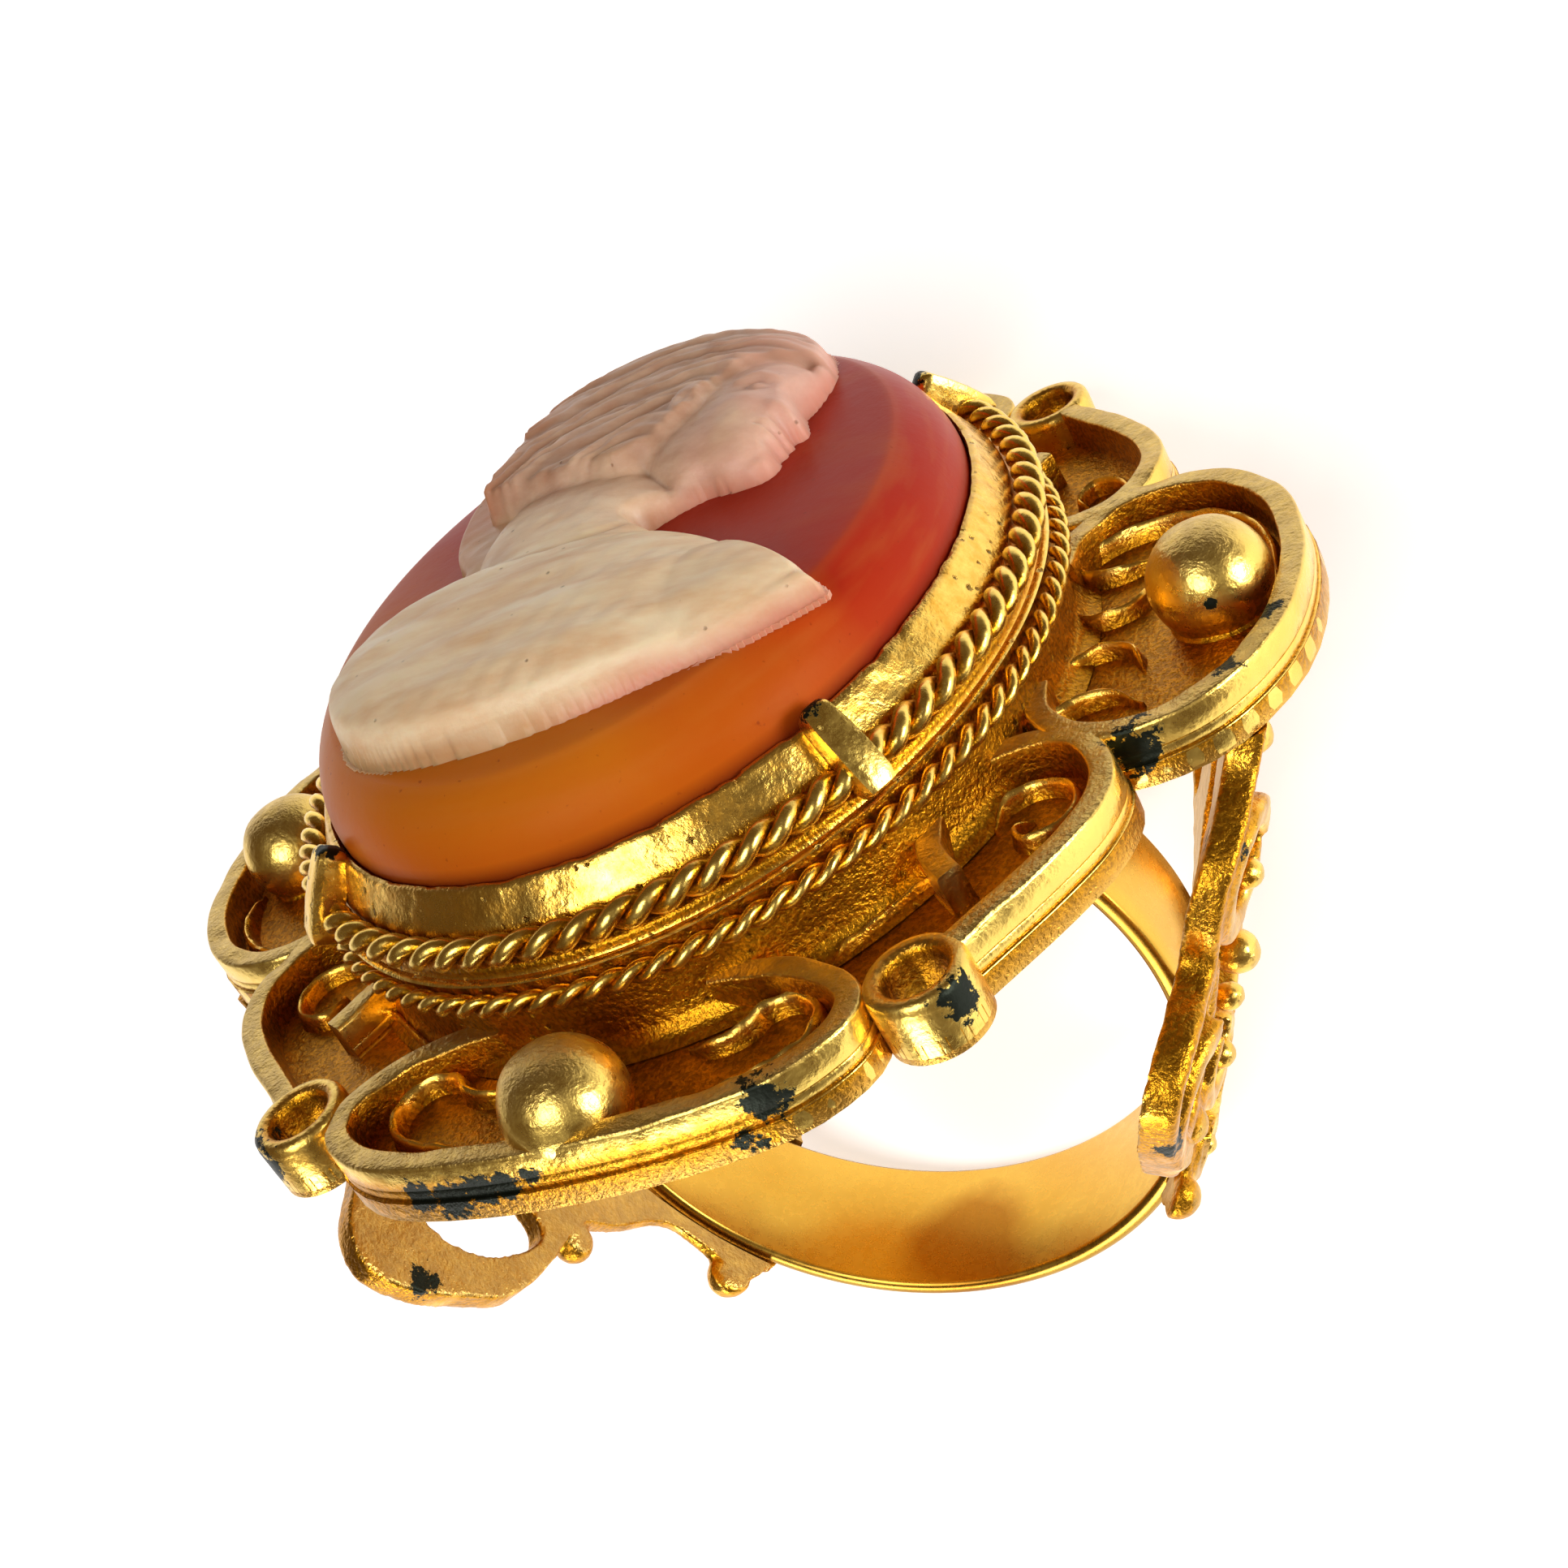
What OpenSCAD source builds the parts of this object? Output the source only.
// Cameo ring: an oval carved stone in a scrollwork head on a plain finger band.
// The head is drawn flat, its rim tops at height 0, the finger axis along Y and the band below.
// At the end the whole ring is turned to lie on its side, as it rests by itself.

/* [Finger band] */
// Inside diameter of the band
finger_d = 18.4; // [17:0.1:20]
// Thickness of the band
band_t = 0.6; // [0.5:0.05:1]
// Width of the band at the back of the finger
band_w = 5; // [4.2:0.1:5.8]
// Width of the band under the head
band_top_w = 3.4; // [2.8:0.1:4]

/* [Cameo stone] */
// Width of the stone across the finger
cameo_x = 18.9; // [17:0.1:20]
// Length of the stone along the finger
cameo_y = 22; // [21:0.1:23]
// Depth of the stone below the collar's rim
stone_seat = 1.6; // [1.2:0.1:2]
// Height of the stone's sloping side above the collar's rim
stone_side = 2.2; // [1.6:0.1:2.8]
// How far the sloping side leans in
stone_lean = 1.1; // [0.7:0.1:1.5]
// Height of the carved bust above the ground
relief_h = 1.9; // [1.4:0.1:2.4]

/* [Collar and claws] */
// Height of the collar above the head plate
collar_h = 4.9; // [4.4:0.1:5.4]
// Height of the collar's sloping upper part
collar_slope_h = 1; // [0.8:0.1:1.3]
// Wall of the collar at its foot
collar_wall = 1.1; // [0.9:0.1:1.4]
// How far the collar steps in above the lower wire
collar_step = 0.32; // [0.2:0.02:0.4]
// Wall of the collar at its rim
rim_wall = 0.25; // [0.2:0.05:0.4]
// Width of the seat under the stone's edge
seat_w = 0.9; // [0.6:0.1:1.2]
// Thickness of a claw
claw_d = 1; // [0.8:0.1:1.2]
// Length of a claw
claw_h = 1.6; // [1.4:0.05:1.9]

/* [Twisted wires] */
// Thickness of the upper, thicker wire
upper_wire_d = 0.85; // [0.7:0.05:1]
// Full turns of the upper wire
upper_turns = 40; // [34:1:44]
// Thickness of the lower, thinner wire
lower_wire_d = 0.6; // [0.5:0.05:0.8]
// Full turns of the lower wire
lower_turns = 48; // [42:1:52]
// Height between the two wires
wire_apart = 0.8; // [0.6:0.05:0.95]

/* [Scroll head] */
// Thickness of the head plate
plate_t = 0.6; // [0.5:0.05:0.9]
// How far the plate's edge stands out past the rim walls
plate_ledge = 0.1; // [0.05:0.05:0.2]
// Height of the rim walls above the plate
rim_h = 1.1; // [0.9:0.1:1.4]
// Thickness of the rim walls
rim_t = 0.65; // [0.5:0.05:0.8]
// How far the side lobes reach out past the collar
side_reach = 6.15; // [5.9:0.05:6.5]
// Length of a side lobe along the finger
side_lobe_y = 11.2; // [10.4:0.1:12]
// How far the end lobes reach out past the collar
end_reach = 3.95; // [3.7:0.05:4.4]
// Width of an end lobe across the finger
end_lobe_x = 14.2; // [13.4:0.1:15]
// Radius of a corner lobe
corner_r = 2.25; // [2:0.05:2.5]
// Height of the inner scrolls above the plate
scroll_h = 0.7; // [0.5:0.1:0.9]
// Thickness of the inner scrolls
scroll_t = 0.45; // [0.35:0.05:0.6]
// Diameter of the four balls
ball_d = 3.2; // [2.8:0.1:3.4]
// Height of the balls' centres above the plate
ball_up = 1; // [0.9:0.1:1.4]
// Outer diameter of the eyelets
eyelet_d = 2.6; // [2.2:0.1:3]
// Hole in the eyelets
eyelet_hole_d = 1.6; // [1.2:0.1:1.8]

/* [Shoulders] */
// Distance from the finger's centre to the foot of a shoulder panel
foot_out = 6.9; // [6.5:0.1:7.3]
// Distance from the head plate down to the foot of a shoulder panel
foot_down = 17; // [16.6:0.1:17.4]
// Distance from the finger's centre to the top of a shoulder panel
top_out = 15.4; // [15:0.1:15.8]
// Thickness of a shoulder panel
panel_t = 1.3; // [1:0.1:1.6]
// Reach of a shoulder's loops to each side
loop_reach = 11.3; // [11:0.1:11.7]
// Height of the raised scrolls on the shoulders
shoulder_scroll_h = 0.8; // [0.6:0.1:1]
// Thickness of the raised scrolls on the shoulders
shoulder_scroll_t = 0.6; // [0.4:0.05:0.8]
// Diameter of the shoulders' pegs
peg_d = 1.1; // [0.9:0.1:1.4]

/* [Hidden] */
$fn = 48;

gap = 0.03;                 // hairline between neighbouring pieces
sink = 0.1;                 // how deep a raised part runs into what carries it
band_flat = 0.1;            // how much is filed off the band's top
plate_top = -rim_h;
plate_low = plate_top - plate_t;
finger_r = finger_d / 2;
band_r = finger_r + band_t;
band_z = plate_low - gap + band_flat - band_r;

stone_a = cameo_x / 2;
stone_b = cameo_y / 2;
rim_z = plate_top + collar_h;
neck_wall = collar_wall - collar_step;
collar_a = stone_a + collar_wall;
collar_b = stone_b + collar_wall;
ground_z = rim_z + stone_side;

// Points and outward direction of the stone's oval, grown by some distance
oval_steps = 72;
function oval_out(t) = let (n = [stone_b * cos(t), stone_a * sin(t)]) n / norm(n);
function oval_at(t, grow) = [stone_a * cos(t), stone_b * sin(t)] + grow * oval_out(t);

// Smooth curve through a few points: open, or closed when looped is true
function blend(a, b, c, d, t) =
    0.5 * (2 * b + (c - a) * t + (2 * a - 5 * b + 4 * c - d) * t * t
           + (3 * b - a - 3 * c + d) * t * t * t);
function curve(points, steps, looped = false) =
    let (n = len(points), last = looped ? n : n - 1)
    [for (i = [0:last - 1], k = [0:steps - 1])
        let (before = looped ? points[(i + n - 1) % n] : points[max(i - 1, 0)],
             next = points[(i + 1) % n],
             after = looped ? points[(i + 2) % n] : points[min(i + 2, n - 1)])
        blend(before, points[i], next, after, k / steps),
     if (!looped) points[n - 1]];
function side_of(path, i) =
    let (a = path[max(i - 1, 0)], b = path[min(i + 1, len(path) - 1)], d = (b - a) / norm(b - a))
    [-d[1], d[0]];
function shifted(path, d) = [for (i = [0:len(path) - 1]) path[i] + d * side_of(path, i)];
function turned(list) = [for (i = [len(list) - 1:-1:0]) list[i]];

// Curl whose radius shrinks from one size to another between two angles
function curl(middle, radii, angles, steps = 18) =
    [for (i = [0:steps]) let (k = i / steps, a = angles[0] + k * (angles[1] - angles[0]))
        middle + (radii[0] + k * (radii[1] - radii[0])) * [cos(a), sin(a)]];

module ribbon(path, thick) {
    polygon(concat(shifted(path, thick / 2), turned(shifted(path, -thick / 2))));
}
module four_ways() {
    for (sx = [0, 1], sy = [0, 1])
        mirror([sx, 0, 0]) mirror([0, sy, 0]) children();
}
module two_ways(axis) {
    children();
    mirror(axis) children();
}

// Triangles that join rings of points into a closed tube or, with caps, into a solid
function skin(rings, sides, looped = false) =
    [for (i = [0:rings - (looped ? 1 : 2)], j = [0:sides - 1])
        let (a = i * sides + j, b = i * sides + (j + 1) % sides,
             c = ((i + 1) % rings) * sides + (j + 1) % sides, d = ((i + 1) % rings) * sides + j)
        each [[a, d, c], [a, c, b]]];

function flipped(faces) = [for (f = faces) [f[0], f[2], f[1]]];

// Band
module finger_band() {
    color("gold") difference() {
        intersection() {
            translate([0, 0, band_z]) rotate([90, 0, 0])
                difference() {
                    cylinder(h = 2 * band_w, r = band_r, center = true, $fn = 96);
                    cylinder(h = 3 * band_w, r = finger_r, center = true, $fn = 96);
                }
            rotate([90, 0, 90])
                linear_extrude(height = 3 * band_r, center = true)
                    polygon([[-band_w / 2, band_z - 2 * band_r], [band_w / 2, band_z - 2 * band_r],
                             [band_w / 2, band_z - band_r], [band_top_w / 2, band_z + band_r],
                             [-band_top_w / 2, band_z + band_r], [-band_w / 2, band_z - band_r]]);
        }
        translate([0, 0, plate_low - gap + band_r / 2]) cube(band_r, center = true);
    }
}

// Shoulder panels, drawn flat with Y to the side and the panel's height upwards
foot_z = plate_low - foot_down;
lean = atan2(top_out - foot_out, foot_down);
panel_h = foot_down / cos(lean);

// Columns: share of the loops' reach to the side, share of the panel's height
panel_edge = [[0.10, -0.02], [0.22, 0.015], [0.31, 0.05], [0.285, 0.15], [0.30, 0.22], [0.42, 0.30],
              [0.50, 0.365], [0.67, 0.39], [0.82, 0.43], [0.885, 0.48], [0.96, 0.555], [1, 0.63],
              [0.97, 0.68], [0.87, 0.72], [0.74, 0.74], [0.62, 0.785], [0.50, 0.89], [0.42, 1.04]];
loop_hole = [[0.60, 0.42], [0.74, 0.47], [0.79, 0.55], [0.76, 0.625], [0.66, 0.67], [0.54, 0.65], [0.50, 0.53]];
middle_hole = [[0.12, 0.42], [0.26, 0.52], [0.26, 0.68], [0.12, 0.80]];
lower_hole = [[0.07, 0.12], [0.16, 0.20], [0.16, 0.28], [0.07, 0.34]];

function on_panel(shares) = [for (p = shares) [p[0] * loop_reach, p[1] * panel_h]];
upper_curl = curl([0.36 * loop_reach, 0.80 * panel_h], loop_reach * [0.168, 0.062], [100, -230]);
lower_curl = curl([0.30 * loop_reach, 0.37 * panel_h], loop_reach * [0.142, 0.058], [60, -260]);
foot_curl = curl([0.17 * loop_reach, 0.10 * panel_h], loop_reach * [0.097, 0.044], [80, -200]);
module panel_holes() {
    two_ways([1, 0, 0]) polygon(curve(on_panel(loop_hole), 4, true));
    for (hole = [middle_hole, lower_hole])
        polygon(curve(on_panel(concat(hole, [for (p = turned(hole)) [-p[0], p[1]]])), 3, true));
}
module panel_face() {
    half = curve(on_panel(panel_edge), 3);
    difference() {
        polygon(concat(half, [for (p = turned(half)) [-p[0], p[1]]]));
        panel_holes();
    }
}
module peg(at, angle, length) {
    translate([at[0], at[1], 0]) rotate([0, 0, angle]) rotate([0, 90, 0]) {
        cylinder(h = length, d = 0.8 * peg_d, center = true, $fn = 24);
        translate([0, 0, length / 2]) sphere(d = peg_d, $fn = 24);
    }
}
module panel() {
    linear_extrude(height = panel_t, center = true) panel_face();
    two_ways([1, 0, 0]) {
        translate([0, 0, panel_t / 2 - sink]) linear_extrude(height = shoulder_scroll_h + sink)
            for (path = [upper_curl, lower_curl, foot_curl])
                ribbon(path, shoulder_scroll_t);
        peg([0.27 * loop_reach, 0.085 * panel_h], 20, 0.73 * peg_d);
        peg([0.45 * loop_reach, 0.35 * panel_h], 10, 0.82 * peg_d);
    }
}
module shoulder() {
    difference() {
        translate([foot_out, 0, foot_z]) rotate([0, lean, 0])
            rotate([0, 0, -90]) rotate([90, 0, 0]) mirror([0, 0, 1]) panel();
        translate([0, 0, band_z]) rotate([90, 0, 0]) {
            cylinder(h = band_w + 2 * gap, r = band_r + gap, center = true, $fn = 96);
            cylinder(h = 4 * band_r, r = (finger_r + band_r) / 2, center = true, $fn = 96);
        }
        translate([0, 0, plate_low - gap + band_r / 2])
            cube([6 * band_r, 6 * band_r, band_r], center = true);
    }
}
module right_shoulder() {
    color("gold") shoulder();
}
module left_shoulder() {
    color("gold") mirror([1, 0, 0]) shoulder();
}

// Scroll head
// Columns: share of the reach past the wires, share of the lobe's half length
side_wall = [[-0.06, -0.5], [-0.02, -0.72], [0.14, -0.94], [0.40, -1], [0.70, -0.87], [0.93, -0.5], [1, 0],
             [0.93, 0.5], [0.70, 0.87], [0.40, 1], [0.14, 0.94], [-0.02, 0.72], [-0.06, 0.5]];
// Columns: share of the lobe's half width, share of the reach past the wires
end_wall = [[-0.42, -0.18], [-0.60, -0.145], [-0.77, -0.04], [-0.92, 0.14], [-0.985, 0.33], [-0.94, 0.58],
            [-0.74, 0.83], [-0.38, 0.96], [0, 1], [0.38, 0.96], [0.74, 0.83], [0.94, 0.58], [0.985, 0.33],
            [0.92, 0.14], [0.77, -0.04], [0.60, -0.145], [0.42, -0.18]];
// Columns: across and along from the corner's centre, in corner radii
corner_wall = [[-0.62, 1.05], [-0.98, 0.4], [-0.9, -0.5], [-0.25, -0.98], [0.5, -0.87], [0.93, -0.15],
               [0.82, 0.55], [0.36, 1.25]];
corner_at = [0.975 * collar_a, 0.61 * collar_b];
eyelet_at = [0.81 * collar_a, 1.075 * collar_b];
side_ball_at = [collar_a + 0.65 * side_reach, 0];
end_ball_at = [0, collar_b + 0.68 * end_reach];

function on_side(shares) = [for (p = shares) [collar_a + p[0] * side_reach, p[1] * side_lobe_y / 2]];
function on_end(shares) = [for (p = shares) [p[0] * end_lobe_x / 2, collar_b + p[1] * end_reach]];
function on_corner(shares) = [for (p = shares) corner_at + corner_r * p];
side_path = curve(on_side(side_wall), 3);
end_path = curve(on_end(end_wall), 3);
corner_path = curve(concat(on_corner(corner_wall), [eyelet_at + [0.3, -0.3] * eyelet_d]), 4);

side_curl = curl([collar_a + 0.36 * side_reach, 0.46 * side_lobe_y / 2], side_reach * [0.36, 0.08], [-5, 400]);
end_curl = curl([0.6 * end_lobe_x / 2, collar_b + 0.34 * end_reach], end_reach * [0.43, 0.127], [60, -300]);
corner_curl = curl(corner_at, corner_r * [0.667, 0.2], [100, -250]);

module plate_outline() {
    polygon([for (t = [0:5:355]) oval_at(t, collar_wall + 1.4 * lower_wire_d)]);
    four_ways() polygon([[0, 0], corner_at, eyelet_at, [0.8 * end_lobe_x / 2, collar_b + 0.3 * end_reach]]);
    two_ways([1, 0, 0]) polygon(concat([[0, 0]], shifted(side_path, -rim_t / 2 - plate_ledge)));
    two_ways([0, 1, 0]) polygon(concat([[0, 0]], shifted(end_path, rim_t / 2 + plate_ledge)));
    four_ways() polygon(concat([[0, 0]], shifted(corner_path, -rim_t / 2 - plate_ledge)));
}
module on_plate(height) {
    translate([0, 0, plate_top - sink]) linear_extrude(height = height + sink) children();
}
module ball(at) {
    translate([at[0], at[1], plate_top - sink]) cylinder(h = ball_up, d = 0.8 * ball_d);
    translate([at[0], at[1], plate_top + ball_up]) sphere(d = ball_d);
}
module raised_scrolls() {
    on_plate(rim_h) {
        two_ways([1, 0, 0]) ribbon(side_path, rim_t);
        two_ways([0, 1, 0]) ribbon(end_path, rim_t);
        four_ways() ribbon(corner_path, rim_t);
    }
    on_plate(scroll_h) four_ways() {
        ribbon(side_curl, scroll_t);
        ribbon(end_curl, scroll_t);
        ribbon(corner_curl, scroll_t);
    }
}
module scroll_frame() {
    color("goldenrod") difference() {
        union() {
            translate([0, 0, plate_low]) linear_extrude(height = plate_t) plate_outline();
            difference() {
                raised_scrolls();
                translate([0, 0, plate_top]) linear_extrude(height = 2 * rim_h)
                    polygon([for (i = [0:oval_steps - 1]) oval_at(i * 360 / oval_steps, collar_wall + gap)]);
            }
            two_ways([1, 0, 0]) ball(side_ball_at);
            two_ways([0, 1, 0]) ball(end_ball_at);
            four_ways() translate([eyelet_at[0], eyelet_at[1], plate_low])
                cylinder(h = plate_t + rim_h, d = eyelet_d);
        }
        four_ways() translate([eyelet_at[0], eyelet_at[1], plate_low - plate_t])
            cylinder(h = 3 * plate_t + rim_h, d = eyelet_hole_d);
    }
}

// Collar round the stone, a section of [distance out from the stone's edge, height] carried round the oval
module round_oval(section) {
    n = len(section);
    points = [for (i = [0:oval_steps - 1], s = section)
        let (p = oval_at(i * 360 / oval_steps, s[0])) [p[0], p[1], s[1]]];
    polyhedron(points, flipped(skin(oval_steps, n, true)));
}
seat_z = rim_z - stone_seat - gap;
upper_wire_z = rim_z - collar_slope_h - 0.19 * upper_wire_d;
lower_wire_z = upper_wire_z - (upper_wire_d + lower_wire_d) / 2 - wire_apart;
ledge_z = upper_wire_z - upper_wire_d / 2 - 2.5 * gap;        // step under the upper wire

// A square claw whose foot stands just in front of the upper wire
module claw() {
    t = 45;
    foot = oval_at(t, collar_wall + 0.7 * claw_d);
    tip = oval_at(t, 0.4 * claw_d);
    low = [foot[0], foot[1], upper_wire_z - 0.34 * claw_d];
    high = [tip[0], tip[1], low[2] + claw_h];
    reach = high - low;
    translate(low) rotate([0, acos(reach[2] / norm(reach)), atan2(reach[1], reach[0])]) {
        cylinder(h = norm(reach), d = 1.25 * claw_d, $fn = 4);
        translate([0, 0, norm(reach)]) sphere(d = claw_d, $fn = 24);
    }
}
module wire_channel() {
    r = upper_wire_d / 2 + gap;
    middle = neck_wall + gap + upper_wire_d / 2;
    round_oval([[middle - r - sink, upper_wire_z - 2 * r], [middle + r, upper_wire_z - 2 * r],
                [middle + r, upper_wire_z + 0.41 * r], [middle + 0.41 * r, upper_wire_z + r],
                [middle - r - sink, upper_wire_z + r]]);
}
module bezel_cup() {
    foot = plate_top + gap;
    color("gold") {
        round_oval([[-seat_w, foot], [collar_wall, foot], [collar_wall, ledge_z - collar_step / 3],
                    [neck_wall, ledge_z], [neck_wall, rim_z - collar_slope_h],
                    [gap + rim_wall, rim_z],
                    [gap, rim_z], [gap, seat_z], [-seat_w, seat_z]]);
        difference() {
            four_ways() claw();
            stone_block(gap);
            wire_channel();
        }
    }
}

// Twisted wires: two strands wound round each other and bent round the collar
wire_sides = 8;
module twisted_wire(out, height, thick, turns) {
    per_turn = 6;
    rings = turns * per_turn;
    points = [for (i = [0:rings - 1], j = [0:wire_sides - 1])
        let (a = j * 360 / wire_sides, r = thick / 2 * (0.76 + 0.24 * cos(2 * a)),
             b = a + i * 360 / per_turn, t = i * 360 / rings,
             p = oval_at(t, out + r * cos(b)))
        [p[0], p[1], height + r * sin(b)]];
    color("gold") polyhedron(points, flipped(skin(rings, wire_sides, true)));
}
module upper_twisted_wire() {
    twisted_wire(neck_wall + gap + upper_wire_d / 2, upper_wire_z, upper_wire_d, upper_turns);
}
module lower_twisted_wire() {
    twisted_wire(collar_wall + gap + lower_wire_d / 2, lower_wire_z, lower_wire_d, lower_turns);
}

// Stone
module stone_block(grow) {
    rings = [[0, rim_z - stone_seat], [0, rim_z], [-0.23 * stone_lean, rim_z + 0.5 * stone_side],
             [-stone_lean, ground_z - 0.07 * stone_side], [-1.36 * stone_lean, ground_z]];
    n = len(rings);
    points = [for (r = rings, i = [0:oval_steps - 1])
        let (p = oval_at(i * 360 / oval_steps, r[0] + grow)) [p[0], p[1], r[1]]];
    polyhedron(points, concat([[for (i = [0:oval_steps - 1]) i]],
                              skin(n, oval_steps),
                              [[for (i = [oval_steps - 1:-1:0]) (n - 1) * oval_steps + i]]));
}
module cameo_ground() {
    color("orangered") stone_block(0);
}

// Carved bust: an outline and, inside it, rings that climb to rounded forms
// Columns: share of the stone's half width, share of its half length
bust_outline = [[0.53, 0.10], [0.54, 0.15], [0.555, 0.185], [0.55, 0.205], [0.59, 0.23], [0.57, 0.275],
                [0.558, 0.325], [0.585, 0.38], [0.60, 0.445], [0.60, 0.52], [0.58, 0.60], [0.52, 0.70],
                [0.40, 0.80], [0.16, 0.87], [-0.10, 0.85], [-0.32, 0.75], [-0.50, 0.60], [-0.58, 0.42],
                [-0.58, 0.26], [-0.54, 0.12], [-0.46, 0], [-0.50, -0.10], [-0.62, -0.24], [-0.665, -0.42],
                [-0.63, -0.575], [-0.50, -0.705], [-0.25, -0.785], [0.08, -0.785], [0.47, -0.695],
                [0.79, -0.575], [0.81, -0.54], [0.66, -0.40], [0.47, -0.265], [0.29, -0.15], [0.14, -0.04],
                [0.19, 0.02], [0.33, 0.05], [0.47, 0.055]];
bust_middle = [-0.10, 0.09];
// Columns: middle across, middle along, half width, half length, height, all shares
bust_forms = [[0.03, 0.42, 0.66, 0.52, 1], [-0.36, 0.25, 0.30, 0.36, 0.9], [-0.07, 0, 0.36, 0.40, 0.7],
              [-0.15, -0.47, 0.78, 0.42, 0.86], [0.36, -0.51, 0.55, 0.24, 0.66]];
least_relief = 0.32;
function form_height(f, x, y) =
    let (u = (x - f[0]) / f[2], v = (y - f[1]) / f[3], q = 1 - pow(u * u + v * v, 2)) q > 0 ? f[4] * sqrt(q) : 0;
function bust_height(x, y) = max([for (f = bust_forms) form_height(f, x, y)]);
bust_rings = [1, 1, 0.95, 0.86, 0.72, 0.52, 0.28];
module cameo_relief() {
    edge = curve(bust_outline, 2, true);
    n = len(edge);
    low = ground_z + gap;
    points = concat(
        [for (k = [0:len(bust_rings) - 1], e = edge)
            let (s = bust_middle + bust_rings[k] * (e - bust_middle),
                 h = k == 0 ? 0 : relief_h * max(least_relief, bust_height(s[0], s[1])))
            [s[0] * stone_a, s[1] * stone_b, low + h]],
        [[bust_middle[0] * stone_a, bust_middle[1] * stone_b,
          low + relief_h * bust_height(bust_middle[0], bust_middle[1])]]);
    last = (len(bust_rings) - 1) * n;
    color("bisque") polyhedron(points, concat([[for (i = [0:n - 1]) i]],
        skin(len(bust_rings), n),
        [for (i = [0:n - 1]) [last + n, last + (i + 1) % n, last + i]]));
}

// Lying on its side, leant back until the head's edge and the shoulders' loops both rest on the table
// Points here are [along the finger, height]
band_rest = [band_w / 2, band_z - band_r];
head_edge = [collar_b + end_reach + rim_t / 2 + plate_ledge, plate_low];
loop_edge = [for (p = curve(on_panel(panel_edge), 3))
    [p[0], foot_z + p[1] * cos(lean) - panel_t / 2 * sin(lean)]];
lie_back = 90 - min([for (p = concat([band_rest], loop_edge))
    atan2(head_edge[0] - p[0], head_edge[1] - p[1])]);
lie_up = head_edge[0] * sin(lie_back) - head_edge[1] * cos(lie_back);
band_far = band_rest[0] * cos(lie_back) - band_rest[1] * sin(lie_back);
bust_far = 0.8 * stone_b * cos(lie_back) + (ground_z + relief_h) * sin(lie_back);
module laid() {
    translate([0, (bust_far - band_far) / 2, lie_up])
        rotate([lie_back, 0, 0]) rotate([0, 0, 180]) children();
}

laid() finger_band();
laid() left_shoulder();
laid() right_shoulder();
laid() scroll_frame();
laid() bezel_cup();
laid() lower_twisted_wire();
laid() upper_twisted_wire();
laid() cameo_ground();
laid() cameo_relief();
